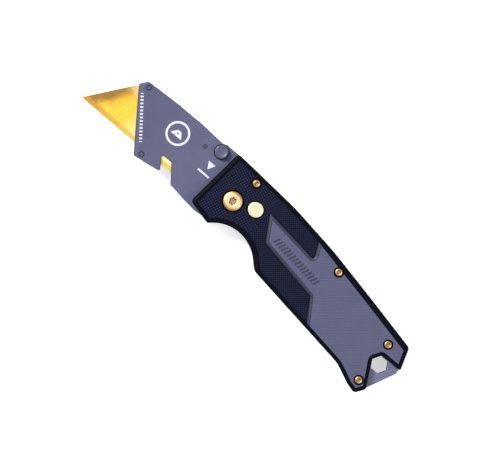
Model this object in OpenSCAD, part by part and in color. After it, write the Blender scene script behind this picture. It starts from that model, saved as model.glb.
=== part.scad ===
// Folding utility knife that carries one standard trapezoid blade.
// Plan sizes are measured from the fold pivot: +X to the butt, +Y to the spine, +Z out of the front face.
// The knife is then shifted to lie on Z = 0, with the middle of its box on the Z axis.

/* [Blade] */
// Length of the blade along its cutting edge
blade_l = 61; // [54:0.5:74]
// Height of the blade from cutting edge to back
blade_h = 19; // [17:0.5:23]
// Thickness of the blade
blade_t = 0.6; // [0.4:0.05:0.8]
// Width of the ground band along the cutting edge
grind_w = 2; // [1:0.25:3]
// Width of each catch notch in the back of the blade
notch_w = 3; // [2.4:0.1:3.6]
// Depth of each catch notch
notch_d = 2.4; // [1.8:0.1:2.6]
// Distance between the two catch notches
notch_pitch = 8; // [7:0.5:10]
// How far each end of the blade leans in from edge to back
slant_run = 14.5; // [12:0.5:16]

/* [Blade holder] */
// Thickness of each holder plate
plate_t = 1.2; // [0.9:0.1:1.6]
// Free space between the blade and each plate
blade_play = 0.1; // [0.05:0.01:0.2]
// Radius of the rivet shanks in the holder
rivet_r = 1; // [0.7:0.05:1.1]
// Radius of the rivet heads
rivet_head_r = 1.35; // [1.2:0.05:1.6]
// Height that the rivet heads stand proud of the plates
rivet_proud = 0.12; // [0.05:0.01:0.25]

/* [Quick-change lever] */
// Angle that the lever turns to free the blade
lever_turn = 7; // [5:0.5:8]
// Half width of the lever arm
lever_half_w = 1; // [0.8:0.1:1.2]
// Radius of the lever's pin
lever_pin_r = 1; // [0.7:0.05:1.1]
// Radius of the stud's round top
stud_r = 2.9; // [2.6:0.1:3.2]
// Height of the stud above the front plate
stud_h = 2.5; // [1.5:0.1:3]
// Radius of the stud's neck
stud_neck_r = 1.5; // [1.2:0.1:1.6]

/* [Handle] */
// Length of the butt behind the tip of the folded blade
tail_l = 22; // [20:0.5:30]
// Thickness of each outer scale
scale_t = 3.6; // [3.4:0.1:5]
// Thickness of each steel liner
liner_t = 1.2; // [0.9:0.1:1.6]
// Distance that the liners stay inside the edge of the scales
liner_inset = 0.6; // [0.3:0.1:0.9]
// Width of the bevel round the outer face of each scale
bevel_w = 1.2; // [0.6:0.1:1.3]
// Depth of that bevel
bevel_d = 0.9; // [0.5:0.1:1.3]
// Depth of the pocket that the grip and the inlay lie in
pocket_d = 1; // [0.6:0.1:1.2]
// Thickness of the spine part of the back spacer
spacer_w = 2.3; // [1.6:0.1:2.4]
// Width across the flats of the hexagonal hole
hex_af = 6.5; // [6.4:0.05:7]

/* [Pivot and screws] */
// Outer radius of the pivot barrel
barrel_r = 2.5; // [2:0.1:3]
// Radius of the pivot's two heads
pivot_head_r = 4.2; // [3.6:0.1:4.6]
// Thickness of the pivot's two heads
pivot_head_t = 1.2; // [0.9:0.1:1.5]
// Thickness of each pivot washer
washer_t = 0.35; // [0.2:0.05:0.6]
// Outer radius of the pivot washers
washer_r = 5.4; // [4.5:0.1:5.6]
// Radius of the thread in the pivot barrel
pivot_thread_r = 1.5; // [1.2:0.1:1.6]
// Radius of the small screws' threads
screw_r = 1; // [0.8:0.05:1.1]
// Radius of the small screws' heads
screw_head_r = 1.7; // [1.5:0.1:1.9]
// Thickness of the small screws' heads
screw_head_t = 1; // [0.7:0.1:1.1]
// Free space round a screw head in its counterbore
counterbore_gap = 0.45; // [0.2:0.05:0.5]
// Depth of every screw head below the face of the scale
head_sink = 0.25; // [0.1:0.05:0.4]
// Radius of the stop pin
stop_r = 2.3; // [2:0.1:2.5]

/* [Lock] */
// Angle that the blade holder folds through
fold_angle = 175; // [172:0.5:176]
// Radius of the lock button
button_r = 3.3; // [3:0.1:3.4]
// Travel of the lock button
button_travel = 1; // [0.8:0.1:1.1]
// Height of the button above the face of the scale
button_proud = 0.4; // [0.2:0.1:0.8]
// Radius of the button's stem
stem_r = 1.3; // [1:0.1:1.4]
// Radius of the tang round the pivot
tang_r = 8.3; // [7.6:0.1:8.5]
// Depth of the notch in the tang for the lock leaf
lock_notch_d = 2.4; // [1.8:0.1:2.6]
// Thickness of the spring steel lock leaf
leaf_t = 1; // [0.8:0.05:1.1]
// Height that the leaf's tip springs up between the liners
leaf_rise = 1.3; // [1.2:0.05:1.5]

/* [Clearances] */
// Free space between surfaces that slide or turn on each other
run_gap = 0.03; // [0.02:0.01:0.06]
// Free space between a thread or a fixed pin and its hole
fit_gap = 0.02; // [0.01:0.005:0.05]
// Free space beside pieces that only pass each other
pass_gap = 0.2; // [0.15:0.05:0.3]

/* [Hidden] */
$fn = 64;
eps = 0.01;

// The outlines are drawn for this blade and this butt, and stretch with the driving sizes
drawn_blade_l = 61;
drawn_blade_h = 19;
drawn_butt_x = 98.3;
heel_x = -14.9; // where the blade's rear corner lies
waist_x = 26; // the handle stretches behind this
edge_y = -7.8; // where the cutting edge lies

function turned(p, a) = [p.x * cos(a) - p.y * sin(a), p.x * sin(a) + p.y * cos(a)];
function ty(y) = y * blade_h / drawn_blade_h;
blade_tip = [heel_x - blade_l, ty(edge_y)];
butt_x = turned(blade_tip, fold_angle).x + tail_l;
function tx(x) =
    x < heel_x ? heel_x + (x - heel_x) * blade_l / drawn_blade_l
    : x > waist_x ? waist_x + (x - waist_x) * (butt_x - waist_x) / (drawn_butt_x - waist_x)
    : x;
function at(x, y) = [tx(x), ty(y)];

// Height of each layer above the middle of the blade
gap_z = blade_t / 2 + blade_play; // inner faces of the holder plates
plate_z = gap_z + plate_t; // outer faces of the holder plates
liner_z = plate_z + washer_t + 2 * run_gap; // inner faces of the liners
shell_z = liner_z + liner_t; // inner faces of the scales
face_z = shell_z + scale_t; // outer faces of the scales
pocket_z = face_z - pocket_d;

// Places of the fasteners and the moving pieces
stop_at = at(2.8, 11.9);
middle_screw_at = at(52.5, 6);
upper_screw_at = at(87.4, -3.6);
lower_screw_at = at(87.6, -22.6);
screws_at = [stop_at, middle_screw_at, upper_screw_at, lower_screw_at];
hex_at = at(90.2, -12.3);
button_at = at(9.55, 3.4);
top_rivet_at = at(-57, 13.35);
low_rivet_at = at(-41.65, -9.7);
lever_pin_at = at(-23.5, 9.85);
stud_at = at(-16.75, 12.5);
catch_x = tx(-45.4) + notch_pitch / 2;
back_y = ty(edge_y) + blade_h;
leaf_rivets_at = [[38.3, ty(-5.5)], [42.2, ty(-5.7)]];

// An outline is a counter-clockwise list of corners: [x, y, fillet radius, width of the rim after it]
handle_front = [
    [-10.9, 16.5, 1.6, 2.1],
    [-13.35, -11.2, 1.8, 1.7],
    [-2.2, -13.75, 0.9, 1.7],
    [10.3, -1.8, 16.6, 2.3],
    [25.4, -16.3, 5, 1.6]
];
handle_belly = [
    [55, -20.2, 60, 1.6],
    [76.5, -23.1, 12, 1.6],
    [85.2, -26.9, 8, 1.6]
];
scale_tail = [
    [89.4, -28, 1.8, 1.6],
    [92.4, -23.6, 1.8, 1.4],
    [86.1, -12.3, 1.6, 1.4],
    [88.35, -8.6, 1.2, 1.4],
    [98.3, -8.6, 0.7, 1.6],
    [94.9, 1.1, 2, 2.4]
];
liner_tail = [
    [88.8, -27.8, 2],
    [92.2, -24.4, 2],
    [98.5, -10.7, 1.6],
    [97.6, -6.5, 1.5],
    [94.9, 1.1, 2]
];
handle_spine = [
    [70, 6.3, 80, 2.4],
    [46, 11.1, 90, 1.8],
    [22, 14.5, 90, 1.5]
];
spacer_front_x = 12.5;

// The inlay covers the handle behind these corners, and the grip covers it in front of them
inlay_front = [
    [35.2, 16, 0],
    [41.6, 3.2, 1],
    [15, 6.3, 0.4],
    [21.6, -4.5, 1],
    [49.9, -9.2, 1],
    [64, -31, 0],
    [130, -60, 0],
    [130, 60, 0],
    [35.2, 60, 0]
];

holder_nose = [
    [-61.4, 12, 1.4],
    [-43.7, -12.3, 1.3],
    [-31.2, -10.2, 0.7],
    [-35.2, -4.2, 0.7],
    [-29.9, -4.2, 0.8],
    [-24.3, -11.6, 1.2],
    [-16.5, -12.7, 6],
    [-9.6, -13.3, 1]
];
holder_spine = [
    [-4.5, 15.2, 3],
    [-9.5, 16.3, 3],
    [-17, 16.3, 0.8],
    [-18.4, 15.6, 0.8],
    [-31, 16.2, 60],
    [-44, 16.05, 60],
    [-58.7, 15.3, 1.6]
];

// Where the stop pin and the button's stem come to in the holder's own frame when it is folded
folded_stop_at = turned(stop_at, -fold_angle);
folded_button_at = turned(button_at, -fold_angle);
button_reach = norm(button_at);
button_angle = atan2(button_at.y, button_at.x);
track_half_w = stem_r + pass_gap;
track_end_r = 1.05 * track_half_w;
lock_r = tang_r - lock_notch_d;
lock_face_angle = -60;
lock_open_angle = -10;

// Layers and plan sizes of the lock and the quick-change lever
button_flange_t = 0.6;
button_flange_r = button_r + 0.6;
button_flange_z = shell_z + pass_gap + button_travel + button_flange_t; // top of the flange
bevel_steps = 3;
pad_gap = 0.04; // between the grip, the inlay and the pocket
seat_z = face_z - head_sink - pivot_head_t; // seat of the pivot's heads
screw_seat_z = face_z - head_sink - screw_head_t;
leaf_low_z = -shell_z + fit_gap; // the leaf's root lies on the rear scale
leaf_bend_x = 35;
leaf_tip_x = 3;
leaf_rivet_r = 0.85;
leaf_rivet_l = 1.6; // how deep the rivets reach into the rear scale
lever_t = 2 * gap_z - 0.1;
lever_hub_r = 2.2;
lever_end_r = 2;
lever_tenon_r = 0.9;
lever_arm = stud_at - lever_pin_at;
lever_drop = norm(lever_arm) * sin(lever_turn);
lever_floor_y = stud_at.y - lever_end_r - lever_drop - pass_gap;
arm_low_y = back_y + pass_gap;
arm_high_y = arm_low_y + 2 * lever_half_w;

// Plan geometry

function plan(p) = [p.x, p.y];
function unit(v) = v / norm(v);
function left_of(v) = [-v.y, v.x];
function before(p, i) = p[(i + len(p) - 1) % len(p)];
function after(p, i) = p[(i + 1) % len(p)];
function placed_corners(p) = [for (c = p) [tx(c.x), ty(c.y), c.z, c[3]]];

// The points of one filleted corner, a point for about every 6 degrees of its turn
function fillet(a, corner, c) =
    let (b = plan(corner), r = corner.z, u = unit(a - b), v = unit(c - b))
    r == 0 ? [b] : let (
        half = acos(u * v) / 2,
        steps = ceil((180 - 2 * half) / 6 + 0.999),
        centre = b + unit(u + v) * r / sin(half),
        s = b + u * r / tan(half) - centre,
        e = b + v * r / tan(half) - centre,
        start = atan2(s.y, s.x),
        sweep = (atan2(e.y, e.x) - start + 540) % 360 - 180
    ) [for (k = [0 : steps]) centre + r * [cos(start + sweep * k / steps), sin(start + sweep * k / steps)]];
function to_micron(p) = [round(p.x * 1000) / 1000, round(p.y * 1000) / 1000];
function filleted(p) = [
    for (i = [0 : len(p) - 1])
    for (q = fillet(plan(before(p, i)), p[i], plan(after(p, i))))
    to_micron(q)
];

// Moves each edge of an outline inwards by its own width and keeps the fillets concentric
function moved_in(p, widths) = [
    for (i = [0 : len(p) - 1])
    let (
        b = plan(p[i]),
        d1 = unit(b - plan(before(p, i))),
        d2 = unit(plan(after(p, i)) - b),
        w1 = before(widths, i),
        w2 = widths[i],
        turn = cross(d1, d2),
        place = b + (w1 * d2 - w2 * d1) / turn,
        r = p[i].z - (turn > 0 ? 1 : -1) * (w1 + w2) / 2
    )
    [place.x, place.y, max(r, 0.15)]
];
function even(p, w) = [for (c = p) w];
function rims(p) = [for (c = p) c[3]];

scale_corners = placed_corners(concat(handle_front, handle_belly, scale_tail, handle_spine));
liner_corners = placed_corners(concat(handle_front, handle_belly, liner_tail, handle_spine));
scale_points = filleted(scale_corners);
pocket_points = filleted(moved_in(scale_corners, rims(scale_corners)));
liner_points = filleted(moved_in(liner_corners, even(liner_corners, liner_inset)));
spacer_inner_points = filleted(moved_in(liner_corners, even(liner_corners, liner_inset + spacer_w)));
holder_corners = concat(
    placed_corners(holder_nose),
    [
        [folded_stop_at.x - stop_r + 0.7, ty(-12.6), 0.4],
        [folded_stop_at.x - stop_r + 0.7, -0.6 * tang_r, 0],
        [stop_at.x - stop_r + 0.4, 0.6 * tang_r, 0],
        [stop_at.x - stop_r + 0.4, ty(14.4), 0.5]
    ],
    placed_corners(holder_spine)
);

low_x = blade_tip.x;
high_x = max([for (p = scale_points) p.x]);
low_y = min([for (p = scale_points) p.y]);
high_y = max([for (p = scale_points) p.y]);
shift = [-(low_x + high_x) / 2, -(low_y + high_y) / 2, face_z];

module placed() { translate(shift) children(); }
module on_rear() { mirror([0, 0, 1]) children(); }
module at_each(places) { for (p = places) translate([p.x, p.y, 0]) children(); }
module slab(z0, z1) { translate([0, 0, z0]) linear_extrude(z1 - z0) children(); }
module disc(p, r, z0, z1) { translate([p.x, p.y, z0]) cylinder(r = r, h = z1 - z0); }

// Six-lobed socket that a screwdriver fits, with its mouth at z
module lobed_socket(r, z, depth) {
    translate([0, 0, z - depth]) {
        cylinder(r = 0.78 * r, h = depth + eps);
        for (a = [0 : 60 : 300]) rotate(a) translate([0.78 * r, 0, 0]) cylinder(r = 0.22 * r, h = depth + eps);
    }
}

module sector(r, from, to) {
    polygon(concat([[0, 0]], [for (k = [0 : 8]) let (a = from + (to - from) * k / 8) r * [cos(a), sin(a)]]));
}

// Handle

// The bevel is a short stair, so that every face of the shell stays flat and exact
module scale_shell() {
    slab(shell_z, face_z - bevel_d) polygon(scale_points);
    for (k = [1 : bevel_steps]) {
        low_z = face_z - bevel_d * (1 - (k - 1) / bevel_steps);
        widths = even(scale_corners, bevel_w * (k - 0.5) / bevel_steps);
        slab(low_z, low_z + bevel_d / bevel_steps) polygon(filleted(moved_in(scale_corners, widths)));
    }
}

module scale_holes() {
    disc([0, 0], barrel_r + fit_gap, shell_z - eps, face_z);
    disc([0, 0], pivot_head_r + counterbore_gap, seat_z, face_z + eps);
    at_each(screws_at) cylinder(r = screw_r + fit_gap, h = face_z);
    for (p = screws_at) disc(p, screw_head_r + counterbore_gap, screw_seat_z, face_z + eps);
}

module button_bore() {
    disc(button_at, button_r + 2 * run_gap, shell_z - eps, face_z + eps);
    disc(button_at, button_flange_r + pass_gap, shell_z - eps, button_flange_z + run_gap);
}

module pocketed_shell() {
    difference() {
        scale_shell();
        slab(pocket_z, face_z + eps) polygon(pocket_points);
        scale_holes();
    }
}

module front_scale() {
    color("#111218") placed() difference() {
        pocketed_shell();
        button_bore();
    }
}

module rear_scale() {
    color("#111218") placed() on_rear() difference() {
        pocketed_shell();
        at_each(leaf_rivets_at) translate([0, 0, shell_z - eps]) cylinder(r = leaf_rivet_r + fit_gap, h = leaf_rivet_l);
    }
}

module inlay_area(grow) {
    polygon(filleted(moved_in(placed_corners(inlay_front), even(inlay_front, -grow))));
}

module pocket_area() {
    widths = [for (c = scale_corners) c[3] + pad_gap];
    polygon(filleted(moved_in(scale_corners, widths)));
}

module grip_pad() {
    difference() {
        slab(pocket_z, face_z) difference() {
            pocket_area();
            inlay_area(pad_gap);
        }
        scale_holes();
    }
}

module inlay_pad() {
    difference() {
        slab(pocket_z, face_z) intersection() {
            pocket_area();
            inlay_area(0);
        }
        scale_holes();
    }
}

module front_grip() {
    color("#20243a") placed() difference() {
        grip_pad();
        button_bore();
    }
}

module rear_grip() { color("#20243a") placed() on_rear() grip_pad(); }
module front_inlay() { color("#66677e") placed() inlay_pad(); }
module rear_inlay() { color("#66677e") placed() on_rear() inlay_pad(); }

module hex_hole(z0, z1) {
    translate([hex_at.x, hex_at.y, z0]) cylinder(r = hex_af / 2 / cos(30), h = z1 - z0, $fn = 6);
}

module liner_plate() {
    difference() {
        slab(liner_z, shell_z) polygon(liner_points);
        disc([0, 0], barrel_r + fit_gap, 0, face_z);
        at_each(screws_at) cylinder(r = screw_r + fit_gap, h = face_z);
        hex_hole(0, face_z);
    }
}

module front_liner() {
    color("#8d8f9c") placed() difference() {
        liner_plate();
        disc(button_at, stem_r + 3 * run_gap, 0, face_z);
    }
}

// Plan of the lock leaf: a tip that bears on the tang, an ear under the button, and a fixed root
leaf_corners = [
    [2.2, ty(-7.2), 0],
    [5.6, ty(-7.2), 0],
    [9.2, ty(-5.5), 0],
    [30, ty(-6.6), 0],
    [44, ty(-8.4), 0],
    [44, ty(-2.9), 0],
    [30, ty(-1.6), 0],
    [13, ty(-1.2), 0],
    [button_at.x + 2.3, button_at.y + 2, 0],
    [button_at.x - 1.9, button_at.y + 2, 0],
    [5, ty(-1), 0]
];
function leaf_bottom(x) =
    leaf_low_z + leaf_rise * max(0, leaf_bend_x - x) / (leaf_bend_x - leaf_tip_x);

module rear_liner() {
    color("#8d8f9c") placed() difference() {
        on_rear() liner_plate();
        slab(-face_z, 0) polygon(filleted(moved_in(leaf_corners, even(leaf_corners, -1.5 * pass_gap))));
    }
}

module back_spacer() {
    color("#3a3c46") placed() difference() {
        slab(-liner_z, liner_z) intersection() {
            polygon(liner_points);
            union() {
                difference() {
                    translate([spacer_front_x, -2]) square([butt_x, 60]);
                    polygon(spacer_inner_points);
                }
                translate([middle_screw_at.x, middle_screw_at.y]) circle(r = 2.1 * screw_r);
                translate([turned(blade_tip, fold_angle).x + 2.5, -60]) square([butt_x, 120]);
            }
        }
        // Room for the folded blade holder
        slab(-face_z, face_z) rotate(fold_angle)
            polygon(filleted(moved_in(holder_corners, even(holder_corners, -pass_gap))));
        at_each(screws_at) translate([0, 0, -face_z]) cylinder(r = screw_r + fit_gap, h = 2 * face_z);
        hex_hole(-face_z, face_z);
    }
}

module stop_pin() {
    color("#9a9ca8") placed() difference() {
        disc(stop_at, stop_r, -liner_z, liner_z);
        disc(stop_at, screw_r + fit_gap, -face_z, face_z);
    }
}

module pivot_screw() {
    color("#e6cf8e") placed() difference() {
        union() {
            disc([0, 0], pivot_thread_r, 0, seat_z + eps);
            disc([0, 0], pivot_head_r, seat_z, seat_z + 0.6 * pivot_head_t);
            translate([0, 0, seat_z + 0.6 * pivot_head_t])
                cylinder(r1 = pivot_head_r, r2 = pivot_head_r - 0.5, h = 0.4 * pivot_head_t);
        }
        lobed_socket(0.4 * pivot_head_r, seat_z + pivot_head_t, pivot_head_t);
    }
}

module pivot_barrel() {
    color("#e6cf8e") placed() on_rear() difference() {
        union() {
            disc([0, 0], barrel_r, -seat_z + 0.1, seat_z + eps);
            disc([0, 0], pivot_head_r, seat_z, seat_z + 0.6 * pivot_head_t);
            translate([0, 0, seat_z + 0.6 * pivot_head_t])
                cylinder(r1 = pivot_head_r, r2 = pivot_head_r - 0.5, h = 0.4 * pivot_head_t);
        }
        disc([0, 0], pivot_thread_r + fit_gap, -face_z, 0.5 * seat_z);
        lobed_socket(0.4 * pivot_head_r, seat_z + pivot_head_t, pivot_head_t);
    }
}

module washer() {
    difference() {
        disc([0, 0], washer_r, plate_z + run_gap, plate_z + run_gap + washer_t);
        disc([0, 0], barrel_r + run_gap, 0, face_z);
    }
}

module front_washer() { color("#b88a45") placed() washer(); }
module rear_washer() { color("#b88a45") placed() on_rear() washer(); }

screw_tip_z = 1;

module small_screw() {
    difference() {
        union() {
            translate([0, 0, screw_tip_z]) cylinder(r = screw_r, h = screw_seat_z - screw_tip_z + eps);
            translate([0, 0, screw_seat_z]) cylinder(r = screw_head_r, h = 0.7 * screw_head_t);
            translate([0, 0, screw_seat_z + 0.7 * screw_head_t])
                cylinder(r1 = screw_head_r, r2 = screw_head_r - 0.3, h = 0.3 * screw_head_t);
        }
        lobed_socket(0.52 * screw_head_r, screw_seat_z + screw_head_t, 0.8 * screw_head_t);
    }
}

module front_screws() { color("#d9b46a") placed() at_each(screws_at) small_screw(); }
module rear_screws() { color("#d9b46a") placed() on_rear() at_each(screws_at) small_screw(); }

// Lock

module leaf_plan() {
    difference() {
        polygon([for (c = leaf_corners) plan(c)]);
        circle(r = lock_r + run_gap);
        difference() {
            circle(r = tang_r + run_gap);
            sector(2 * tang_r, lock_face_angle + 0.5, lock_open_angle - 2);
        }
    }
}

module lock_leaf() {
    root_x = leaf_corners[4].x + 1;
    low = [[root_x, leaf_low_z], [leaf_bend_x, leaf_low_z], [0, leaf_bottom(0)]];
    high = [for (i = [2 : -1 : 0]) [low[i].x, low[i].y + leaf_t]];
    color("#a9abb5") placed() difference() {
        intersection() {
            translate([0, blade_h, 0]) rotate([90, 0, 0]) linear_extrude(2 * blade_h) polygon(concat(low, high));
            slab(-face_z, face_z) leaf_plan();
        }
        for (p = leaf_rivets_at) disc(p, leaf_rivet_r + fit_gap, -face_z, 0);
    }
}

module leaf_rivets() {
    color("#c9cad2") placed() for (p = leaf_rivets_at) {
        disc(p, leaf_rivet_r, leaf_low_z - leaf_rivet_l + 0.1, leaf_low_z + leaf_t);
        disc(p, 1.5 * leaf_rivet_r, leaf_low_z + leaf_t, leaf_low_z + leaf_t + 0.25);
    }
}

module lock_button() {
    color("#efe3a0") placed() {
        disc(button_at, stem_r, leaf_bottom(button_at.x - stem_r) + leaf_t + run_gap, button_flange_z);
        disc(button_at, button_flange_r, button_flange_z - button_flange_t, button_flange_z);
        disc(button_at, button_r, button_flange_z - eps, face_z + button_proud - 0.3);
        translate([button_at.x, button_at.y, face_z + button_proud - 0.3])
            cylinder(r1 = button_r, r2 = button_r - 0.3, h = 0.3);
    }
}

// Blade holder

module holder_plan() {
    difference() {
        union() {
            polygon(filleted(holder_corners));
            circle(r = tang_r);
        }
        circle(r = barrel_r + run_gap);
        // The seats of the stop pin, open and folded
        for (p = [stop_at, folded_stop_at]) translate(p) circle(r = stop_r + run_gap);
        // The track of the button's stem
        intersection() {
            difference() {
                circle(r = button_reach + track_half_w);
                circle(r = button_reach - track_half_w);
            }
            sector(3 * button_reach, button_angle - fold_angle, lock_face_angle);
        }
        translate(folded_button_at) circle(r = track_end_r);
        // The notch that the lock leaf springs into
        difference() {
            sector(2 * tang_r, lock_face_angle, lock_open_angle);
            circle(r = lock_r);
        }
    }
}

module holder_plate() {
    difference() {
        slab(gap_z, plate_z) holder_plan();
        for (p = [top_rivet_at, low_rivet_at]) {
            disc(p, rivet_r + fit_gap, 0, face_z);
            disc(p, rivet_head_r + fit_gap, plate_z - rivet_head_t, face_z);
        }
        disc(lever_pin_at, lever_pin_r + fit_gap, 0, face_z);
    }
}

rivet_head_t = 0.35; // how deep a rivet's head lies in its plate
stud_pressed_at = lever_pin_at + turned(lever_arm, -lever_turn);

module holder_front_plate() {
    color("#6c6d85") placed() difference() {
        holder_plate();
        disc((stud_at + stud_pressed_at) / 2, stud_neck_r + lever_drop / 2 + pass_gap, 0, face_z);
    }
}

module holder_rear_plate() { color("#6c6d85") placed() on_rear() holder_plate(); }

module tang_core() {
    blade_side = heel_x + 1.25 * pass_gap;
    column_x = stud_at.x + lever_end_r + 1.9;
    color("#7b7c8c") placed() difference() {
        slab(-gap_z, gap_z) intersection() {
            holder_plan();
            polygon([
                [blade_side, -60],
                [blade_side, ty(edge_y)],
                [blade_side - slant_run, back_y],
                [blade_side - slant_run, 60],
                [60, 60],
                [60, -60]
            ]);
        }
        slab(-face_z, face_z) {
            translate([-blade_l, lever_floor_y]) square([blade_l + column_x, blade_h]);
            translate(lever_pin_at) circle(r = lever_hub_r + pass_gap);
        }
        spring_root(2 * fit_gap, face_z);
    }
}

// The lever's return spring is a flat strip whose root sits in a slot of the core
spring_t = 0.35;
spring_root_y = lever_floor_y + 0.15;

module spring_root(gap, z) {
    slab(-z, z) translate([stud_at.x + lever_end_r + 1.5, spring_root_y - gap]) square([2.4, spring_t + 2 * gap]);
}

module lever_spring() {
    from_x = stud_at.x + lever_end_r + 1.8;
    touch = stud_at.y - lever_end_r - run_gap;
    color("#d0d1d8") placed() {
        spring_root(0, lever_t / 2);
        slab(-lever_t / 2, lever_t / 2) polygon([
            [from_x, spring_root_y],
            [from_x, spring_root_y + spring_t],
            [from_x - 0.8, spring_root_y + spring_t],
            [stud_at.x, touch],
            [stud_at.x - 0.6, touch - spring_t],
            [from_x - 0.8, spring_root_y]
        ]);
    }
}

module nose_spacers() {
    color("#7b7c8c") placed() difference() {
        for (p = [top_rivet_at, low_rivet_at]) disc(p, 1.7 * rivet_r, -gap_z, gap_z);
        for (p = [top_rivet_at, low_rivet_at]) disc(p, rivet_r + fit_gap, -face_z, face_z);
    }
}

module holder_rivets() {
    color("#585a70") placed() for (p = [top_rivet_at, low_rivet_at]) {
        disc(p, rivet_r, -plate_z, plate_z);
        for (side = [-1, 1]) scale([1, 1, side])
            disc(p, rivet_head_r, plate_z - rivet_head_t, plate_z + rivet_proud);
    }
}

module lever_pin() { color("#44465a") placed() disc(lever_pin_at, lever_pin_r, -plate_z, plate_z); }

module blade() {
    profile = [
        [ty(edge_y), 0.02],
        [ty(edge_y), -0.02],
        [ty(edge_y) + grind_w, -blade_t / 2],
        [back_y + 1, -blade_t / 2],
        [back_y + 1, blade_t / 2],
        [ty(edge_y) + grind_w, blade_t / 2]
    ];
    color("#e8b84a") placed() intersection() {
        translate([blade_tip.x - 1, 0, 0]) rotate([90, 0, 90]) linear_extrude(blade_l + 2) polygon(profile);
        slab(-blade_t, blade_t) difference() {
            polygon([
                blade_tip,
                [heel_x, ty(edge_y)],
                [heel_x - slant_run, back_y],
                [heel_x - blade_l + slant_run, back_y]
            ]);
            for (x = [catch_x, catch_x - notch_pitch])
                translate([x - notch_w / 2, back_y - notch_d]) square([notch_w, notch_d + 1]);
        }
    }
}

// Quick-change lever

module release_lever() {
    tooth_half_w = notch_w / 2 - pass_gap;
    color("#8b8c9c") placed() difference() {
        slab(-lever_t / 2, lever_t / 2) {
            translate(lever_pin_at) circle(r = lever_hub_r);
            translate(stud_at) circle(r = lever_end_r);
            polygon([
                [catch_x - tooth_half_w, arm_low_y],
                [lever_pin_at.x - 3, arm_low_y],
                lever_pin_at,
                [stud_at.x, stud_at.y - 1.5],
                [stud_at.x, stud_at.y + 1.5],
                [lever_pin_at.x + 1, arm_high_y],
                [catch_x - tooth_half_w, arm_high_y]
            ]);
            translate([catch_x - tooth_half_w, back_y - notch_d + pass_gap])
                square([2 * tooth_half_w, notch_d + lever_half_w]);
        }
        disc(lever_pin_at, lever_pin_r + run_gap, -face_z, face_z);
        disc(stud_at, lever_tenon_r + fit_gap, -face_z, face_z);
    }
}

module release_stud() {
    head_z = plate_z + 2 * run_gap;
    color("#6e6f88") placed() {
        disc(stud_at, lever_tenon_r, -lever_t / 2, lever_t / 2);
        disc(stud_at, stud_neck_r, lever_t / 2, head_z);
        disc(stud_at, stud_r + 0.35, head_z, head_z + 0.5);
        disc(stud_at, stud_r, head_z + 0.5, plate_z + stud_h - 0.3);
        translate([stud_at.x, stud_at.y, plate_z + stud_h - 0.3]) cylinder(r1 = stud_r, r2 = stud_r - 0.3, h = 0.3);
    }
}

front_scale();
rear_scale();
front_grip();
rear_grip();
front_inlay();
rear_inlay();
front_liner();
rear_liner();
back_spacer();
stop_pin();
pivot_screw();
pivot_barrel();
front_washer();
rear_washer();
front_screws();
rear_screws();
lock_leaf();
leaf_rivets();
lock_button();
holder_front_plate();
holder_rear_plate();
tang_core();
nose_spacers();
holder_rivets();
lever_pin();
blade();
lever_spring();
release_lever();
release_stud();
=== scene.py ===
import math

import bmesh
import bpy
from mathutils import Matrix, Vector


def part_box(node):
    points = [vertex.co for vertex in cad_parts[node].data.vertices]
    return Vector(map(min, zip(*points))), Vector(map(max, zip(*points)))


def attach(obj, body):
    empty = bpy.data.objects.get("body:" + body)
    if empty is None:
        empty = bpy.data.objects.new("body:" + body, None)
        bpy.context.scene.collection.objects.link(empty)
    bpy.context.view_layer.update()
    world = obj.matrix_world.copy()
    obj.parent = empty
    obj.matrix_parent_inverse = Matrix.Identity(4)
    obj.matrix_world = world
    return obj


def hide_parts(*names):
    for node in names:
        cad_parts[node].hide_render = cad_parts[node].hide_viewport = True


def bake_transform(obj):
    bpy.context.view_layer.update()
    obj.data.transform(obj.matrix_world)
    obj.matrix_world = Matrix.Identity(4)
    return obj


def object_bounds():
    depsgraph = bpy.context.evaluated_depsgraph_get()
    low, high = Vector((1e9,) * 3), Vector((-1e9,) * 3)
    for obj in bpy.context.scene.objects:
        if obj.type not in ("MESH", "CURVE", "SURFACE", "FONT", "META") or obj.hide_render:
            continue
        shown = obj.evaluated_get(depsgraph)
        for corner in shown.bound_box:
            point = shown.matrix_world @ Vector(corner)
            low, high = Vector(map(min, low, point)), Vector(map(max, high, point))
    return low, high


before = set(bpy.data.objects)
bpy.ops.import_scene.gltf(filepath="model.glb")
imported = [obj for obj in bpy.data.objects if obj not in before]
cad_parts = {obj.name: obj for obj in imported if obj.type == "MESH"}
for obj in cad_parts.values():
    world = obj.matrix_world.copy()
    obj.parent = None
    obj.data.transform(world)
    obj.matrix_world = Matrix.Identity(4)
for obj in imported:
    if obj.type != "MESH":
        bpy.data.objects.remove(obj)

cad_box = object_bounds()
mm = 0.001

# The table, the light and the camera. The knife lies open on a pale light table with its front face up,
# in a bright room with two soft boxes, the stronger on the spine's side. The camera looks straight down.
view_turn = math.radians(40.4)
view_height = 1435 * mm
view_centre = Vector((0.75 * mm, 2.76 * mm))


def turned_to_view(right, up, z):
    """A place given as right and up of the view's centre, and its height."""
    across = Vector((math.cos(view_turn), math.sin(view_turn)))
    along = Vector((-math.sin(view_turn), math.cos(view_turn)))
    plan = view_centre + right * across + up * along
    return Vector((plan.x, plan.y, z))


camera = bpy.data.objects.new("camera", bpy.data.cameras.new("camera"))
camera.data.lens = 250
camera.data.sensor_width = 36
camera.location = turned_to_view(0, 0, cad_box[1][2] + view_height)
camera.rotation_euler = (0, 0, view_turn)
bpy.context.scene.collection.objects.link(camera)
bpy.context.scene.camera = camera
bpy.context.scene.view_settings.view_transform = "Standard"


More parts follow.
